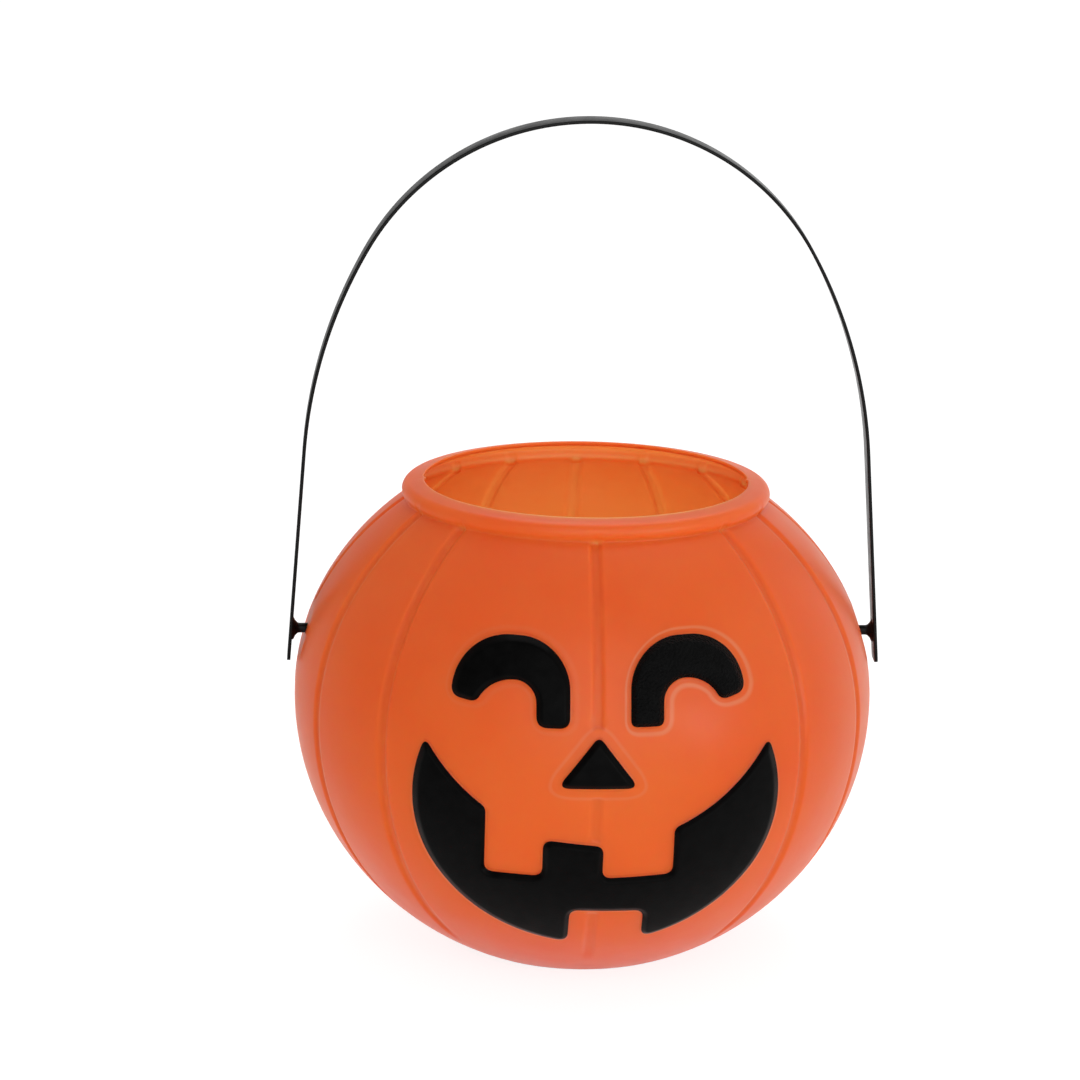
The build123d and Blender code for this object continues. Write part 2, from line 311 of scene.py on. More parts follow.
def bend(start, corner, end, count=bend_points):
    """Points along a soft bend from a start to an end, drawn towards a corner."""
    start, corner, end = np.array(start), np.array(corner), np.array(end)
    shares = np.linspace(0, 1, count)
    return [tuple((1 - s) ** 2 * start + 2 * s * (1 - s) * corner + s * s * end) for s in shares]


def smooth(share):
    """A soft step from 0 to 1."""
    share = np.clip(share, 0, 1)
    return share * share * (3 - 2 * share)


def walk(path, index, way, distance):
    """The place a distance along a closed path from one of its points, and the next index from there."""
    here = np.array(path[index])
    while True:
        index = (index + way) % len(path)
        there = np.array(path[index])
        length = np.linalg.norm(there - here)
        if length >= distance:
            return here + (there - here) * distance / length, index
        distance -= length
        here = there


def closed_path(stretches, step):
    """A closed outline from stretches of points, each with the radius of the corner where it starts."""
    path = []
    rounds = {}
    for stretch, size in stretches:
        if size > 0:
            rounds[len(path)] = size
        path += [tuple(map(float, place)) for place in stretch[:-1]]
    corners = {}
    dropped = set()
    for corner, size in rounds.items():
        middle = np.array(path[corner])
        back = path[corner - 1] - middle
        ahead = path[(corner + 1) % len(path)] - middle
        cosine = back @ ahead / np.linalg.norm(back) / np.linalg.norm(ahead)
        setback = corner_reach * size * sqrt((1 + cosine) / (1 - cosine))
        before, first = walk(path, corner, -1, setback)
        after, last = walk(path, corner, 1, setback)
        count = max(least_points, ceil(corner_length * setback / step) + 1)
        corners[corner] = bend(before, middle, after, count)
        between = (last - first - 1) % len(path)
        dropped.update((first + 1 + i) % len(path) for i in range(between))
    outline = []
    for index, place in enumerate(path):
        if index in corners:
            outline += corners[index]
        elif index not in dropped:
            outline.append(place)
    return outline


def eye_outline(eye, spread, step):
    """An eye's outline, with its edge moved out by spread."""
    inner = eye.inner_edge - spread
    leg_edge = eye.leg_edge + spread
    foot = eye.foot - spread
    top = eye.top + spread
    peak = eye.leg_edge + eye.arch
    inner_centre = (eye.inner_edge + eye.inner_arc, eye.top - eye.inner_arc)
    outer_centre = (eye.outer_edge - eye.outer_arc, eye.top - eye.outer_arc)
    arch_centre = (peak, eye.arch_start)
    tip_centre = (peak, eye.arch_start + eye.arch - eye.tip_arch)
    outer_arc = eye.outer_arc + spread
    tip_arch = eye.tip_arch - spread
    outer_turn = degrees(asin((eye.tip_outer - spread - outer_centre[1]) / outer_arc))
    tip_turn = degrees(asin((eye.tip_inner - spread - tip_centre[1]) / tip_arch))
    outer_tip = turned(outer_centre, outer_arc, outer_turn)
    inner_tip = turned(tip_centre, tip_arch, tip_turn)
    foot_round = max(eye.foot_round + spread, smallest_round)
    tip_round = max(eye.tip_round + spread, smallest_round)
    stretches = [
        (line((inner, foot), (inner, inner_centre[1]), step), foot_round),
        (arc(inner_centre, eye.inner_arc + spread, 180, 90, step), 0),
        (line((inner_centre[0], top), (outer_centre[0], top), step), 0),
        (arc(outer_centre, outer_arc, 90, outer_turn, step), 0),
        (line(outer_tip, inner_tip, step), tip_round),
        (arc(tip_centre, tip_arch, tip_turn, 90, step), tip_round),
        (arc(arch_centre, eye.arch - spread, 90, 180, step), 0),
        (line((leg_edge, arch_centre[1]), (leg_edge, foot), step), 0),
        (line((leg_edge, foot), (inner, foot), step), foot_round),
    ]
    slide, drop = np.array(eye.slip) * max(spread - flank_foot, 0)
    outline = [(eye.side * (x + slide), z + drop) for x, z in closed_path(stretches, step)]
    return outline[:: eye.side]


def nose_outline(spread, step):
    """The nose's outline, with its edge moved out by spread."""
    slope = hypot(nose_half_width, nose_top - nose_foot)
    foot = nose_foot - spread
    top = nose_top + spread * slope / nose_half_width
    half_width = nose_half_width * (top - foot) / (nose_top - nose_foot)
    peak = (nose_middle, top)
    corners = (peak, (nose_middle + half_width, foot), (nose_middle - half_width, foot), peak)
    size = max(nose_round + spread, smallest_round)
    return closed_path([(line(a, b, step), size) for a, b in zip(corners, corners[1:])], step)


def mouth_outline(spread, step):
    """The mouth's outline, with its edge moved out by spread."""
    join_turn = mouth_bottom_turn - 90
    bottom_centre = (mouth_middle, mouth_bottom + mouth_bottom_arc)
    side_x, side_z = turned(bottom_centre, mouth_bottom_arc - mouth_side_arc, join_turn)
    lip_centre = (mouth_middle, upper_lip + upper_lip_arc)
    side_round = mouth_side_arc + spread
    lip_round = upper_lip_arc - spread
    bottom = (bottom_centre, mouth_bottom_arc + spread)
    right_side = ((side_x, side_z), side_round)
    left_side = ((2 * mouth_middle - side_x, side_z), side_round)
    lip = (lip_centre, lip_round)
    across = (lip_centre[0] - side_x, lip_centre[1] - side_z)
    apart = hypot(*across)
    tip_share = (apart**2 + side_round**2 - lip_round**2) / (2 * apart * side_round)
    tip_turn = degrees(atan2(across[1], across[0]) - acos(tip_share))

    def turn_at(place, circle):
        return -degrees(acos((place[0] - mouth_middle) / circle[1]))

    def moved(corners, inward, lift):
        (x0, z0), (x1, z1) = corners
        return (x0 + inward * spread, z0 + lift * spread), (x1 - inward * spread, z1 + lift * spread)

    left_out, left_in = moved(left_tooth, 1, 1)
    right_in, right_out = moved(right_tooth, 1, 1)
    gum_left, gum_right = moved(gum, -1, 1)
    low_left, low_right = moved(lower_tooth, 1, -1)
    lip_tip = turn_at(turned(*right_side, tip_turn), lip)
    lip_right = turn_at(right_out, lip)
    lip_left = turn_at(left_out, lip)
    bottom_left = turn_at(low_left, bottom)
    bottom_right = turn_at(low_right, bottom)
    upper = [turned(*lip, lip_right), right_out, right_in, gum_right, gum_left, left_in, left_out]
    upper.append(turned(*lip, lip_left))
    lower = [turned(*bottom, bottom_left), low_left, low_right, turned(*bottom, bottom_right)]
    convex = max(tooth_round + spread, smallest_round)
    concave = max(tooth_round - spread, smallest_round)
    tip_round = max(mouth_tip_round + spread, smallest_round)
    upper_rounds = (convex, concave, concave, convex, convex, concave, concave)
    lower_rounds = (convex, concave, concave)
    stretches = [(arc(*lip, lip_tip, lip_right, step), tip_round)]
    stretches += [(line(a, b, step), size) for a, b, size in zip(upper, upper[1:], upper_rounds)]
    stretches.append((arc(*lip, lip_left, -180 - lip_tip, step), convex))
    stretches.append((arc(*left_side, 180 - tip_turn, 180 - join_turn, step), tip_round))
    stretches.append((arc(*bottom, -180 - join_turn, bottom_left, step), 0))
    stretches += [(line(a, b, step), size) for a, b, size in zip(lower, lower[1:], lower_rounds)]
    stretches.append((arc(*bottom, bottom_right, join_turn, step), convex))
    stretches.append((arc(*right_side, join_turn, tip_turn, step), 0))
    return closed_path(stretches, step)


# Each plateau of the face: its outline, how far outside the paint its crease lies, and how clear that is,
# which sets both the crease's depth and the strength of the highlight painted along it
plateaus = {
    "left_eye": (partial(eye_outline, left_eye), 1.9, 0.12),
    "right_eye": (partial(eye_outline, right_eye), 2.0, 0.65),
    "nose": (nose_outline, 3.2, 0.3),
    "mouth": (mouth_outline, 1.6, 0.0),
}


def flank_height(spread, crease, clearness):
    """How high a plateau stands at a distance outside the paint's edge."""
    step = crease_step * clearness
    share = smooth((flank_foot - spread) / (flank_foot + flank_shoulder))
    return float(step * smooth((crease - spread) / crease_width) + (face_rise - step) * share)


def groove_shape(aside, width):
    """The depth of a groove, from 0 to 1, at distances from its middle."""
    share = (np.abs(aside) / width - groove_floor) / (groove_half_width - groove_floor)
    return 1 - smooth(share)


def groove_fade(height):
    """The share of a groove's depth that is left at a height: it fades out below."""
    sine = np.clip((under_arc[0][1] - height) / under_arc[1], -1, 1)
    past = np.radians(np.degrees(np.arcsin(sine)) - groove_fade_turn) * under_arc[1]
    return np.clip(1 - (np.maximum(past, 0) / groove_fade_length) ** 2, 0, 1)


def inside(places, outline):
    """Which places lie inside an outline."""
    x, z = np.asarray(places, float).T
    found = np.zeros(len(x), bool)
    ring = np.asarray(outline, float)
    for (x0, z0), (x1, z1) in zip(ring, np.roll(ring, -1, axis=0)):
        if z0 != z1:
            found ^= ((z0 > z) != (z1 > z)) & (x < x0 + (z - z0) * (x1 - x0) / (z1 - z0))
    return found


def places_inside(outline, step):
    """Places a step apart inside an outline."""
    low, high = np.min(outline, axis=0), np.max(outline, axis=0)
    places = [(x, z) for z in np.arange(low[1], high[1], step) for x in np.arange(low[0], high[0], step)]
    return [place for place, kept in zip(places, inside(places, outline)) if kept]


def places_outside(places, outline):
    """The places that lie outside an outline."""
    covered = inside([place[:2] for place in places], outline)
    return [place for place, hidden in zip(places, covered) if not hidden]


def ring_edges(start, count):
    """The edges round a closed ring, as pairs of the numbers of its points."""
    return [(start + i, start + (i + 1) % count) for i in range(count)]


def triangulate(flat, edges):
    """Triangles over flat places with some edges: the places they use, the numbers that each of those
    comes from, the triangles, and their middles."""
    flat = [Vector(place) for place in flat]
    made, _, triangles, sources, _, _ = delaunay_2d_cdt(flat, edges, [], 0, join_distance)
    middles = [np.mean([made[i] for i in triangle], axis=0) for triangle in triangles]
    return made, sources, triangles, middles


def turn_between(turn, middle):
    """The turn from a middle to another one, from -180 to 180."""
    return (np.asarray(turn) - middle + 180) % 360 - 180


def shell_columns():
    """The turns of the shell's columns, once round from the face's middle, close together at grooves."""
    coarse = np.linspace(0, segment / 2, plain_turns)
    beside_groove = groove_turns + tuple(coarse[coarse > groove_turns[-1] + turn_room])
    turns = {face_panel[1], 360 - face_panel[1]}
    for number in range(segment_count):
        for offset in coarse if number in plain_segments else beside_groove:
            turns.add(round((number * segment + offset) % 360, 3))
            turns.add(round((number * segment - offset) % 360, 3))
    return np.array(sorted(turns))


def side_path():
    """The outer side from the middle of the underside to the neck, as radius and height."""
    heel_reach = under_arc[1] - heel_round
    heel_rise = under_arc[0][1] - heel_round
    heel_centre = (under_arc[0][0] + sqrt(heel_reach**2 - heel_rise**2), heel_round)
    heel_turn = -degrees(asin(heel_rise / heel_reach))
    neck_turn = degrees(acos((neck_radius + neck_room - shoulder_arc[0][0]) / shoulder_arc[1]))
    flank_middle = ((push_up_radius + foot_inner_radius) / 2, push_up_height / 2)
    push_up_edge = (push_up_radius - push_up_round, push_up_height)
    path = line((middle_ring, push_up_height), push_up_edge, floor_step)
    path += bend(path[-1], (push_up_radius, push_up_height), flank_middle)[1:]
    path += bend(flank_middle, (foot_inner_radius, 0), (foot_inner_radius + push_up_round, 0))[1:]
    path += line(path[-1], (heel_centre[0], 0), foot_step)[1:]
    path += arc(heel_centre, heel_round, -90, heel_turn, heel_step)[1:]
    path += arc(*under_arc, heel_turn, lower_turn, row_step)[1:]
    path += arc(*lower_arc, lower_turn, 0, row_step)[1:]
    path += arc(*upper_arc, 0, upper_turn, row_step)[1:]
    path += arc(*shoulder_arc, upper_turn, neck_turn, shoulder_step)[1:]
    return path


def collar_path(neck):
    """The collar from the neck over the lip and back to the inside of the neck, as radius and height."""
    crease = (neck_radius + neck_crease[0], neck_height - neck_crease[1])
    top_turn = 90 - lip_slope
    lip_end = turned(bead_centre, bead_radius, top_turn)
    edge = (lip_radius, lip_height)
    under_edge = (lip_radius, lip_height - wall)
    edge_start = (lip_radius + lip_edge_round, lip_height - lip_edge_round * lip_sine)
    under_end = (lip_radius + lip_edge_round, lip_height - wall - lip_edge_round * lip_sine)
    path = bend(neck, crease, turned(bead_centre, bead_radius, bead_foot_turn))[1:]
    path += arc(bead_centre, bead_radius, bead_foot_turn, top_turn, bead_step)[1:]
    path += line(lip_end, edge_start, lip_step)[1:]
    path += bend(edge_start, edge, (lip_radius, lip_height - lip_edge_round), edge_points)[1:]
    path += bend((lip_radius, lip_height - wall + lip_edge_round), under_edge, under_end, edge_points)
    hollow_radius = bead_radius - wall
    hollow_top = turned(bead_centre, hollow_radius, top_turn)
    hollow_side = turned(bead_centre, hollow_radius, hollow_end_turn)
    ridge = (bead_middle + hollow_ridge[0], bead_centre[1] - hollow_ridge[1])
    inner_neck = turned(shoulder_arc[0], shoulder_arc[1] - wall, 90 - neck_slope)
    path += line(under_end, hollow_top, lip_step)[1:]
    path += arc(bead_centre, hollow_radius, top_turn, hollow_end_turn, bead_step)[1:]
    path += bend(hollow_side, ridge, inner_neck, ridge_points)[1:-1]
    return path


def path_normals(path):
    """Normals to the right of a path's direction."""
    ahead = np.gradient(np.asarray(path, float), axis=0)
    ahead /= np.linalg.norm(ahead, axis=1)[:, None]
    return np.stack((ahead[:, 1], -ahead[:, 0]), axis=1)


def front_share(height):
    """The share of the front groove's depth at a height: it is fainter below the nose."""
    above = float(smooth((height - nose_foot) / (nose_top - nose_foot)))
    return groove_below_nose + (1 - groove_below_nose) * above


def groove_depths(columns, radius, height, width):
    """The depth of all the grooves, from 0 to 1, along one row of the shell."""
    depth = np.zeros_like(columns)
    for number in range(segment_count):
        if number not in plain_segments:
            apart = np.clip(turn_between(columns, number * segment), -90, 90)
            share = front_share(height) if number == 0 else 1
            depth = np.maximum(depth, share * groove_shape(radius * np.sin(np.radians(apart)), width))
    return depth


def groove_at(aside, height, inner, front):
    """How deep the groove of a panel is at a place on one of its skins."""
    share = inner_groove_share if inner else 1
    width = inner_groove_width if inner else 1
    along = float(groove_fade(height)) * (front_share(height) if front else 1)
    return share * groove_depth * along * float(groove_shape(aside, width))


class ShellMesh:
    """The shell as one skin up the outside, over the lip and down the inside, with panels of their own
    mesh at the face and at the pegs."""

    def __init__(self):
        self.points = []
        self.faces = []
        # Crease points that carry a painted highlight, with its strength
        self.painted_highlight = {}
        self.columns = shell_columns()
        side = side_path()
        collar = collar_path(side[-1])
        inner_side = np.array(side) - wall * path_normals(side)
        self.side_count = len(side)
        self.rows = np.vstack((side, collar, inner_side[::-1]))
        self.collar_end = len(side) + len(collar)
        self.panels = [self.panel_rows(*panel) for panel in (face_panel, *side_panels)]
        self.grid = self.place_rows()
        self.join_rows()
        self.close_ends()

    def panel_rows(self, turn, half_turn, low, high):
        """A panel with the numbers of its outer rows, and of its inner ones from the bottom up."""
        side = self.rows[: self.side_count]
        heights = np.where(side[:, 0] < foot_radius, np.inf, side[:, 1])
        first, last = (int(np.argmin(np.abs(heights - edge))) for edge in (low, high))
        end = len(self.rows) - 1
        return turn, half_turn, range(first, last + 1), range(end - first, end - last - 1, -1)

    def row_radii(self, number):
        """The radii of one row's points."""
        radius, height = self.rows[number]
        if self.side_count <= number < self.collar_end:
            away = np.hypot(*(self.rows[number] - self.rows[self.side_count - 1]))
            share = dimple_depth * np.exp(-((away / dimple_size) ** 2))
            radii = radius - share * groove_depths(self.columns, radius, height, 1)
            trimmed = np.clip((lip_radius + nick_reach - radius) / nick_reach, 0, 1)
            for middle in parting_turns:
                apart = turn_between(self.columns, middle)
                radii = radii - nick_depth * trimmed * np.exp(-((apart / nick_turn) ** 2))
            return radii
        outer = number < self.side_count
        if radius < foot_radius - wall:
            return np.full_like(self.columns, radius)
        grow = 0 if outer else -wall
        share = groove_depth if outer else groove_depth * inner_groove_share
        width = 1 if outer else inner_groove_width
        depths = share * groove_fade(height) * groove_depths(self.columns, radius, height, width)
        plain = float(skin_radius(height, grow))
        return radius + skin_radius(height, grow - depths) - plain

    def place_rows(self):
        """Places the grid's points, and returns their numbers by row and column."""
        grid = -np.ones((len(self.rows), len(self.columns)), int)
        for number, (_, height) in enumerate(self.rows):
            free = np.ones(len(self.columns), bool)
            for turn, half_turn, outer, inner in self.panels:
                if any(min(rows) < number < max(rows) for rows in (outer, inner)):
                    free &= np.abs(turn_between(self.columns, turn)) > half_turn - turn_slack
            radii = self.row_radii(number)
            for column in np.flatnonzero(free):
                angle = radians(self.columns[column])
                grid[number, column] = len(self.points)
                self.points.append((radii[column] * sin(angle), -radii[column] * cos(angle), height))
        return grid

    def join_rows(self):
        """Faces between neighbouring rows, apart from those in the panels."""
        after = np.roll(np.arange(len(self.columns)), -1)
        for number in range(len(self.rows) - 1):
            free = np.ones(len(self.columns), bool)
            for turn, half_turn, outer, inner in self.panels:
                if any(min(rows) <= number < max(rows) for rows in (outer, inner)):
                    near = np.abs(turn_between(self.columns, turn)) < half_turn + turn_slack
                    free &= ~(near & near[after])
            for column in np.flatnonzero(free):
                (a, b), (d, c) = self.grid[number : number + 2, [column, after[column]]]
                self.faces.append((a, b, c, d))

    def close_ends(self):
        """Fans in the middle of the underside and of the floor inside."""
        for number, way in ((0, -1), (len(self.rows) - 1, 1)):
            ring = list(self.grid[number])
            centre = len(self.points)
            self.points.append((0, 0, self.rows[number][1]))
            for a, b in zip(ring, ring[1:] + ring[:1]):
                self.faces.append((a, b, centre)[::way])

    def fill_panel(self, panel, inner, rings, loose, hole=None):
        """Fills one skin of a panel through rings and loose places, given as distance aside, height and
        distance outward, and returns the numbers of their points."""
        turn, half_turn, outer_rows, inner_rows = panel
        rows = inner_rows if inner else outer_rows
        apart = turn_between(self.columns, turn)
        order = [c for c in np.argsort(apart) if abs(apart[c]) < half_turn + turn_slack]
        border = [self.grid[rows[0], c] for c in order]
        border += [self.grid[row, order[-1]] for row in rows[1:]]
        border += [self.grid[rows[-1], c] for c in order[-2::-1]]
        border += [self.grid[row, order[0]] for row in rows[-2:0:-1]]
        sine, cosine = sin(radians(turn)), cos(radians(turn))
        flat = [(x * cosine + y * sine, z) for x, y, z in (self.points[i] for i in border)]
        edges = ring_edges(0, len(border))
        places = [place for ring in rings for place in ring] + loose
        start = len(flat)
        for ring in rings:
            edges += ring_edges(start, len(ring))
            start += len(ring)
        flat += [place[:2] for place in places]
        made, sources, triangles, middles = triangulate(flat, edges)
        numbers = border + [-1] * len(places)
        index = []
        for place, source in zip(made, sources):
            own = [numbers[i] for i in source if i < len(border)]
            if own:
                index.append(own[0])
                continue
            aside, height = place
            plain = outward_place(aside, height, 0, -wall if inner else 0)
            outward = (places[source[0] - len(border)] if source else plain)[2]
            for i in source:
                numbers[i] = len(self.points)
            index.append(len(self.points))
            self.points.append((outward * sine + aside * cosine, -outward * cosine + aside * sine, height))
        free = ~inside(middles, [place[:2] for place in hole]) if hole else np.ones(len(triangles), bool)
        for triangle, kept in zip(triangles, free):
            if kept:
                self.faces.append(tuple(index[i] for i in (reversed(triangle) if inner else triangle)))
        return numbers[len(border):]


def outward_place(aside, height, rise, grow):
    """A place on the skin, raised above it, as distance aside, height and distance outward."""
    radius = float(skin_radius(height, grow + rise))
    return (aside, height, sqrt(max(radius**2 - aside**2, 0)))


def fill_places(shell, panel, inner, front):
    """Loose places between a panel's edges, close together at its groove."""
    grow = -wall if inner else 0
    rows = panel[3] if inner else panel[2]
    panel_low, panel_high = shell.rows[rows[0]][1], shell.rows[rows[-1]][1]
    coarse = np.arange(groove_steps[-1] + fill_step, belly_radius, fill_step)
    steps = sorted({way * step for step in (*groove_steps, *coarse) for way in (-1, 1)})
    places = []
    for height in np.arange(panel_low + edge_room, panel_high - top_room, fill_step):
        reach = float(skin_radius(height, grow)) * sin(radians(panel[1])) - edge_room
        for aside in steps:
            if abs(aside) < reach:
                places.append(outward_place(aside, height, -groove_at(aside, height, inner, front), grow))
    return places


def add_face(shell, inner):
    """One skin of the front panel, with the plateaus of the face."""
    panel = shell.panels[0]
    grow = -wall if inner else 0
    loose = fill_places(shell, panel, inner, True)
    rings = []
    marks = []
    tops = []
    for draw, crease, clearness in plateaus.values():
        loose = places_outside(loose, draw(crease + crease_clearance, ring_step))
        outer_spreads = (crease + crease_room, crease, crease - crease_width / 2, crease - crease_width)
        for spread in (*outer_spreads, *foot_spreads, *paint_spreads[1:]):
            rise = flank_height(spread, crease, clearness) - min(under_paint, max(-spread, 0))
            left = 1 - float(smooth((crease - spread) / crease_width))
            ring = []
            for x, z in draw(spread, ring_step):
                ring.append(outward_place(x, z, rise - left * groove_at(x, z, inner, True), grow))
            rings.append(ring)
            # The crease rings carry a painted highlight, as strong as the plateau's clearness
            marks += [clearness if spread in outer_spreads[1:3] else 0] * len(ring)
        for x, z in places_inside(draw(-flank_shoulder - ring_step, ring_step), top_step):
            tops.append(outward_place(x, z, face_rise - under_paint, grow))
    numbers = shell.fill_panel(panel, inner, rings, loose + tops)
    if not inner:
        shell.painted_highlight.update({number: mark for number, mark in zip(numbers, marks) if mark})


def add_flat_spot(shell, panel, inner):
    """One skin of a side panel, with the flat spot round a peg's hole, and returns the hole's points."""
    grow = -wall if inner else 0
    point = turned(upper_arc[0], upper_arc[1] + grow - spot_depth, peg_turn)
    slope = radians(peg_turn)

    def on_spot(radius, count):
        ring = []
        for angle in np.linspace(0, 2 * pi, count, endpoint=False):
            height = peg_height + radius * sin(angle) * cos(slope)
            ring.append((radius * cos(angle), height, point[0] - (height - point[1]) * tan(slope)))
        return ring

    hole = on_spot(peg_radius + peg_clearance, hole_points)
    rings = [hole] + [on_spot(*ring) for ring in spot_rings]
    edge = []
    for aside, height, _ in on_spot(spot_radius + spot_edge, spot_points):
        edge.append(outward_place(aside, height, -groove_at(aside, height, inner, False), grow))
    rings.append(edge)
    room = [place[:2] for place in on_spot(spot_radius + spot_clearance, spot_points)]
    loose = places_outside(fill_places(shell, panel, inner, False), room)
    return shell.fill_panel(panel, inner, rings, loose, hole)[:hole_points]


def build_shell(material):
    """The shell, with its grooves, its plateaus and the holes for the pegs."""
    shell = ShellMesh()
    for inner in (False, True):
        add_face(shell, inner)
    for panel in shell.panels[1:]:
        outer_hole = add_flat_spot(shell, panel, False)
        inner_hole = add_flat_spot(shell, panel, True)
        for a, b in ring_edges(0, hole_points):
            shell.faces.append((outer_hole[b], outer_hole[a], inner_hole[a], inner_hole[b]))
    made = make_piece("shell", shell.points, shell.faces, "pail", material, "pail_shell")
    # A point attribute marks where a highlight is painted along the creases
    painted_highlight = np.zeros(len(made.data.vertices))
    painted_highlight[list(shell.painted_highlight)] = list(shell.painted_highlight.values())
    made.data.attributes.new("painted_highlight", "FLOAT", "POINT").data.foreach_set("value", painted_highlight)


def new_object(name, data):
    """A new object in the scene."""
    made = bpy.data.objects.new(name, data)
    scene.collection.objects.link(made)
    return made


def make_piece(name, points, faces, body, material, node):
    """A piece of the object from points in millimetres, which rides a body and stands for a CAD node."""
    mesh = bpy.data.meshes.new(name)
    mesh.from_pydata([tuple(millimetre * float(c) for c in place) for place in points], [], faces)
    mesh.validate()
    mesh.shade_smooth()
    mesh.materials.append(material)
    made = new_object(name, mesh)
    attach(made, body)
    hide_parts(node)
    return made


def build_coat(name, draw, crease, clearness, material):
    """A coat of paint over one plateau: a thin closed film that follows its flank, shoulder and top."""
    flat = []
    rises = []
    edges = []
    for spread in paint_spreads:
        ring = draw(spread, paint_step)
        edges += ring_edges(len(flat), len(ring))
        flat += ring
        rises += [min(flank_height(spread, crease, clearness) + paint_lift, face_rise)] * len(ring)
    fill = places_inside(draw(-flank_shoulder - paint_step, paint_step), fill_step)
    flat += fill
    rises += [face_rise] * len(fill)
    made, sources, triangles, middles = triangulate(flat, edges)
    points = []
    for depth in (0, paint_thickness):
        for (x, z), source in zip(made, sources):
            rise = rises[source[0]] if source else face_rise
            points.append((x, -outward_place(x, z, rise, -depth)[2], z))
    kept = [triangle for triangle, k in zip(triangles, inside(middles, draw(0.0, paint_step))) if k]
    count = len(made)
    faces = [tuple(triangle) for triangle in kept]
    faces += [tuple(i + count for i in reversed(triangle)) for triangle in kept]
    sides = {(t[i], t[(i + 1) % 3]) for t in kept for i in range(3)}
    faces += [(b, a, a + count, b + count) for a, b in sorted(sides) if (b, a) not in sides]
    make_piece(f"{name}_paint", points, faces, "pail", material, f"{name}_coat")


def strap_path(at_peg):
    """Points along the strap's middle, from the +X tail over the crown to the -X one."""
    lean = radians(strap_lean)
    turn = radians(crown_turn)
    side_share = cos(lean) - sin(turn) + tan(lean) * (sin(lean) - cos(turn))
    crown_share = sin(turn) - tan(lean) * (1 - cos(turn))
    rise = arch_top - peg_height
    crown_arc = (at_peg - strap_side_arc * side_share - rise * tan(lean)) / crown_share
    crown_centre = (0, arch_top - crown_arc)
    side_centre = turned(crown_centre, crown_arc - strap_side_arc, 90 - crown_turn)
    leg_top = turned(side_centre, strap_side_arc, strap_lean)
    tail_end = (at_peg + tail_length * tan(lean), peg_height - tail_length)
    tail = turned(tail_end, tail_round, 90 + strap_lean)
    half = [tuple(np.array(tail_end) + (np.array(tail) - tail_end) * share) for share in tail_shares]
    half += line(tail, leg_top, leg_step)
    half += arc(side_centre, strap_side_arc, strap_lean, 90 - crown_turn, strap_side_step)[1:]
    half += arc(crown_centre, crown_arc, 90 - crown_turn, 90, crown_step)[1:]
    return np.array(half + [(-x, z) for x, z in reversed(half[:-1])])


def add_tube(faces, start, rows, count, way):
    """Faces round a tube of rows of points, and one over each end, turned by a way of 1 or -1."""
    last = start + (rows - 1) * count
    for row in range(start, last, count):
        for number in range(count):
            a, b = row + number, row + (number + 1) % count
            faces.append((a, a + count, b + count, b)[::way])
    faces.append(tuple(range(start, start + count))[::way])
    faces.append(tuple(range(last, last + count))[::-way])


def add_band(points, faces, path):
    """The strap's band: a rounded section along its path, with rounded ends."""
    outward = path_normals(path)
    steps = np.linalg.norm(np.diff(path, axis=0), axis=1)
    along = np.concatenate(([0], np.cumsum(steps)))
    to_end = np.minimum(along, along[-1] - along)
    section = []
    for quarter, (wide, thick) in enumerate(((1, 1), (-1, 1), (-1, -1), (1, -1))):
        for angle in np.radians(quarter * 90 + np.linspace(0, 90, section_points)):
            section.append((wide, thick, cos(angle), sin(angle)))
    add_tube(faces, len(points), len(path), len(section), 1)
    for place, out, left in zip(path, outward, to_end):
        inset = max(tail_round - left, 0)
        half_width = strap_width / 2 - tail_round + sqrt(max(tail_round**2 - inset**2, 0))
        for wide, thick, cosine, sine in section:
            y = wide * (half_width - strap_edge_round) + strap_edge_round * cosine
            lift = thick * (strap_thickness / 2 - strap_edge_round) + strap_edge_round * sine
            points.append((place[0] + out[0] * lift, y, place[1] + out[1] * lift))


def add_peg(points, faces, side, inner_face):
    """A peg with its flare at the strap and its snap head, turned about X."""
    flare_middle = (flare_radius + peg_radius) / 2
    snap_tip = snap_shoulder - snap_length
    profile = [
        (inner_face + peg_root, flare_radius),
        (inner_face, flare_radius),
        (inner_face - flare_edge[0], flare_radius - flare_edge[1]),
        (inner_face - flare_length / 2, flare_middle - flare_dip),
        (inner_face - flare_length, peg_radius + flare_end[1]),
        (inner_face - flare_length - flare_end[0], peg_radius),
        (snap_shoulder, peg_radius),
        (snap_shoulder, snap_radius - snap_edge[1]),
        (snap_shoulder - snap_edge[0], snap_radius),
        (snap_tip + snap_tip_edge[0], snap_tip_radius + snap_tip_edge[1]),
        (snap_tip, snap_tip_radius - snap_tip_round),
    ]
    add_tube(faces, len(points), len(profile), peg_points, -side)
    turns = np.linspace(0, 2 * pi, peg_points, endpoint=False)
    for x, radius in profile:
        points += [(side * x, radius * cos(turn), peg_height + radius * sin(turn)) for turn in turns]


def build_strap(material):
    """The strap and its two pegs, as one piece."""
    spot = turned(upper_arc[0], upper_arc[1] - spot_depth, peg_turn)
    inner_face = spot[0] + strap_gap
    points = []
    faces = []
    add_band(points, faces, strap_path(inner_face + strap_thickness / 2))
    for side in (-1, 1):
        add_peg(points, faces, side, inner_face)
    make_piece("strap", points, faces, "handle", material, "handle_strap")


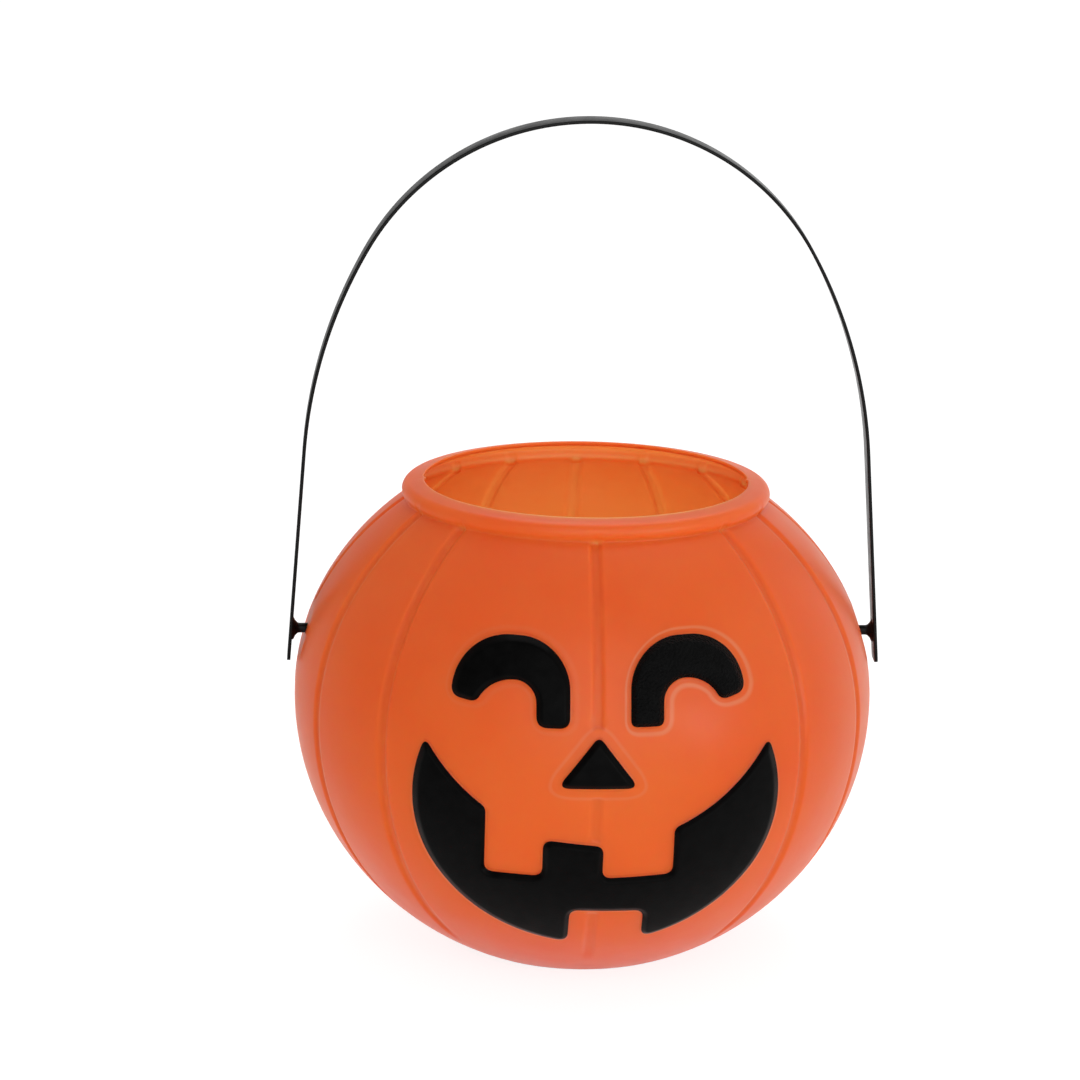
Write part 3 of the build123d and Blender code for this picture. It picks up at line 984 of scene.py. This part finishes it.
class Looks:
    """The nodes of a material or of the world, with short ways to add and link them."""

    def __init__(self, owner):
        owner.use_nodes = True
        self.owner = owner
        self.nodes = owner.node_tree.nodes
        self.links = owner.node_tree.links
        self.shader = self.nodes.get("Principled BSDF")
        self.places = self.nodes.new("ShaderNodeTexCoord").outputs

    def add(self, kind, values, sources):
        """A new node, with values for some of its inputs and sources for others."""
        node = self.nodes.new("ShaderNode" + kind)
        for socket, value in values.items():
            node.inputs[socket].default_value = value
        for socket, source in sources.items():
            self.links.new(source, node.inputs[socket])
        return node

    def fix(self, socket, value):
        """Sets an input of the shader."""
        self.shader.inputs[socket].default_value = value

    def vary(self, socket, source):
        """Links a source to an input of the shader."""
        self.links.new(source, self.shader.inputs[socket])

    def noise(self, scale, detail):
        """A noise texture in the object's own space."""
        values = {"Scale": scale, "Detail": detail}
        return self.add("TexNoise", values, {"Vector": self.places["Object"]}).outputs["Fac"]

    def clouds(self, scale, detail, low, high):
        """A noise as colours between two stops, each a position and a colour."""
        node = self.add("ValToRGB", {}, {"Fac": self.noise(scale, detail)})
        for stop, (position, colour) in zip(node.color_ramp.elements, (low, high)):
            stop.position = position
            stop.color = (*colour, 1)
        return node.outputs["Color"]

    def greys(self, socket, scale, detail, low, high):
        """Lets a noise vary an input of the shader between two stops, each a position and a value."""
        low, high = [(position, (value, value, value)) for position, value in (low, high)]
        self.vary(socket, self.clouds(scale, detail, low, high))

    def bump(self, scale, detail, strength, distance):
        """Lets a noise raise the surface by a distance in metres, over the bumps made before."""
        values = {"Strength": strength, "Distance": distance}
        node = self.add("Bump", values, {"Height": self.noise(scale, detail)})
        for before in self.shader.inputs["Normal"].links:
            self.links.new(before.from_socket, node.inputs["Normal"])
        self.vary("Normal", node.outputs["Normal"])

    def map_range(self, source, limits, values):
        """A value between two values, as a source runs between two limits."""
        sockets = ("From Min", "From Max", "To Min", "To Max")
        values = dict(zip(sockets, (*limits, *values)))
        return self.add("MapRange", values, {"Value": source}).outputs["Result"]

    def switch_rays(self, output, others, in_reflections, to_camera):
        """Gives an output one shader in reflections, one for the camera, and one for all other rays."""
        path = self.nodes.new("ShaderNodeLightPath")
        surface = others
        for ray, seen in (("Is Glossy Ray", in_reflections), ("Is Camera Ray", to_camera)):
            sources = {"Fac": path.outputs[ray], 1: surface, 2: seen}
            surface = self.add("MixShader", {}, sources).outputs["Shader"]
        self.links.new(surface, self.nodes[output].inputs["Surface"])


def orange_plastic():
    """Satin blown polyethylene: translucent, cloudy, with faint orange peel, and a painted highlight along
    the creases round the plateaus, strongest where they catch the light."""
    looks = Looks(bpy.data.materials.new("orange_polyethylene"))
    colour = looks.clouds(scale=22, detail=3, low=(0.35, deep_orange), high=(0.7, pale_orange))
    # Mixes in a paler orange as a painted highlight along the creases
    foot = looks.nodes.new("ShaderNodeAttribute")
    foot.attribute_name = "painted_highlight"
    paler = looks.nodes.new("ShaderNodeMix")
    paler.data_type = "RGBA"
    paler.inputs["B"].default_value = (*highlight_orange, 1)
    looks.links.new(foot.outputs["Fac"], paler.inputs["Factor"])
    looks.links.new(colour, paler.inputs["A"])
    looks.vary("Base Color", paler.outputs["Result"])
    looks.fix("Subsurface Weight", 1.0)
    looks.fix("Subsurface Radius", (1.0, 0.75, 0.7))
    looks.fix("Subsurface Scale", 0.012)
    looks.fix("Specular IOR Level", 0.25)
    looks.greys("Roughness", scale=90, detail=4, low=(0.3, 0.36), high=(0.7, 0.42))
    looks.bump(scale=120, detail=2, strength=0.12, distance=0.0004)
    looks.bump(scale=520, detail=2, strength=0.12, distance=0.0001)
    return looks.owner


def black_paint(name, wrinkle_depth, specular):
    """Satin black paint with fine wrinkles, their depth in metres."""
    looks = Looks(bpy.data.materials.new(name))
    looks.greys("Base Color", scale=300, detail=3, low=(0.3, 0.0008), high=(0.75, 0.002))
    looks.fix("Specular IOR Level", specular)
    looks.greys("Roughness", scale=160, detail=3, low=(0.3, 0.34), high=(0.7, 0.48))
    looks.bump(scale=1400, detail=2, strength=1.0, distance=wrinkle_depth)
    return looks.owner


def strap_plastic():
    """Semi-gloss moulded black plastic with faint flow marks."""
    looks = Looks(bpy.data.materials.new("strap_plastic"))
    looks.greys("Base Color", scale=60, detail=4, low=(0.3, 0.0025), high=(0.7, 0.005))
    looks.fix("Specular IOR Level", 0.12)
    looks.greys("Roughness", scale=200, detail=3, low=(0.3, 0.28), high=(0.7, 0.38))
    looks.bump(scale=700, detail=3, strength=0.15, distance=0.0001)
    return looks.owner


def build_object():
    """All the pieces of the object, in place of the CAD nodes."""
    build_shell(orange_plastic())
    smooth_paint = black_paint("smooth_paint", wrinkle_depth=0.00003, specular=0.035)
    wrinkled_paint = black_paint("wrinkled_paint", wrinkle_depth=0.0008, specular=0.042)
    for name, plateau in plateaus.items():
        build_coat(name, *plateau, wrinkled_paint if name == "right_eye" else smooth_paint)
    build_strap(strap_plastic())


def build_floor():
    """A plain white floor that keeps the pail's soft shadow. A glow lifts it towards white for the camera
    and, fainter on the left, in reflections."""
    corners = [(x * floor_size, y * floor_size, 0) for x, y in ((-1, -1), (1, -1), (1, 1), (-1, 1))]
    mesh = bpy.data.meshes.new("floor")
    mesh.from_pydata(corners, [], [(0, 1, 2, 3)])
    floor = new_object("floor", mesh)
    looks = Looks(bpy.data.materials.new("floor"))
    looks.greys("Base Color", scale=3, detail=2, low=(0.3, 0.93), high=(0.7, 0.95))
    looks.fix("Roughness", 0.9)
    looks.fix("Specular IOR Level", 0.0)
    aside = looks.add("SeparateXYZ", {}, {"Vector": looks.places["Object"]}).outputs["X"]
    fading = looks.map_range(aside, floor_fade, (floor_left_glow, floor_glow))
    in_reflections = looks.add("Emission", {}, {"Strength": fading})
    to_camera = looks.add("Emission", {"Strength": floor_glow}, {})
    plain = looks.shader.outputs["BSDF"]
    lifted = []
    for glow in (in_reflections, to_camera):
        sources = {1: plain, 2: glow.outputs["Emission"]}
        lifted.append(looks.add("MixShader", {"Fac": floor_glow_share}, sources).outputs["Shader"])
    looks.switch_rays("Material Output", plain, *lifted)
    mesh.materials.append(looks.owner)


def area_light(name, place, aim, size, power):
    """A soft square lamp at a place, aimed at a point, in metres and watts."""
    data = bpy.data.lights.new(name, "AREA")
    data.shape = "SQUARE"
    data.size = size
    data.energy = power
    lamp = new_object(name, data)
    lamp.location = place
    lamp.rotation_euler = (Vector(aim) - Vector(place)).to_track_quat("-Z", "Y").to_euler()


def build_light():
    """A white studio that is darker above and to the left in reflections, and three soft lamps."""
    looks = Looks(bpy.data.worlds.new("studio"))
    scene.world = looks.owner
    tilted = looks.add("VectorMath", {1: dark_side}, {0: looks.places["Generated"]})
    tilted.operation = "DOT_PRODUCT"
    darker = looks.map_range(tilted.outputs["Value"], dark_side_edge, reflected_strengths)
    around = looks.nodes["Background"]
    around.inputs["Strength"].default_value = studio_strength
    in_reflections = looks.add("Background", {}, {"Strength": darker})
    to_camera = looks.add("Background", {"Strength": 1.0}, {})
    backgrounds = (around, in_reflections, to_camera)
    for background in backgrounds:
        background.inputs["Color"].default_value = (1, 1, 1, 1)
    looks.switch_rays("World Output", *(background.outputs["Background"] for background in backgrounds))
    for name, lamp in lamps.items():
        area_light(name, *lamp)


def build_camera():
    """The photo's camera, rolled a little."""
    data = bpy.data.cameras.new("camera")
    data.lens = camera_lens
    data.sensor_width = 36.0
    data.clip_start = 0.05
    data.clip_end = 100.0
    data.dof.use_dof = False
    level, height = turned((0, belly_height), camera_distance, camera_rise)
    ahead, aside = turned((0, 0), level, camera_turn)
    place = Vector((-aside, -ahead, height))
    look = (Vector(camera_aim) - place).to_track_quat("-Z", "Y").to_matrix()
    rolled = look @ Matrix.Rotation(radians(camera_roll), 3, "Z")
    scene.camera = new_object("camera", data)
    scene.camera.matrix_world = Matrix.Translation(millimetre * place) @ rolled.to_4x4()


build_object()
build_floor()
build_light()
build_camera()
scene.view_settings.view_transform = "Standard"
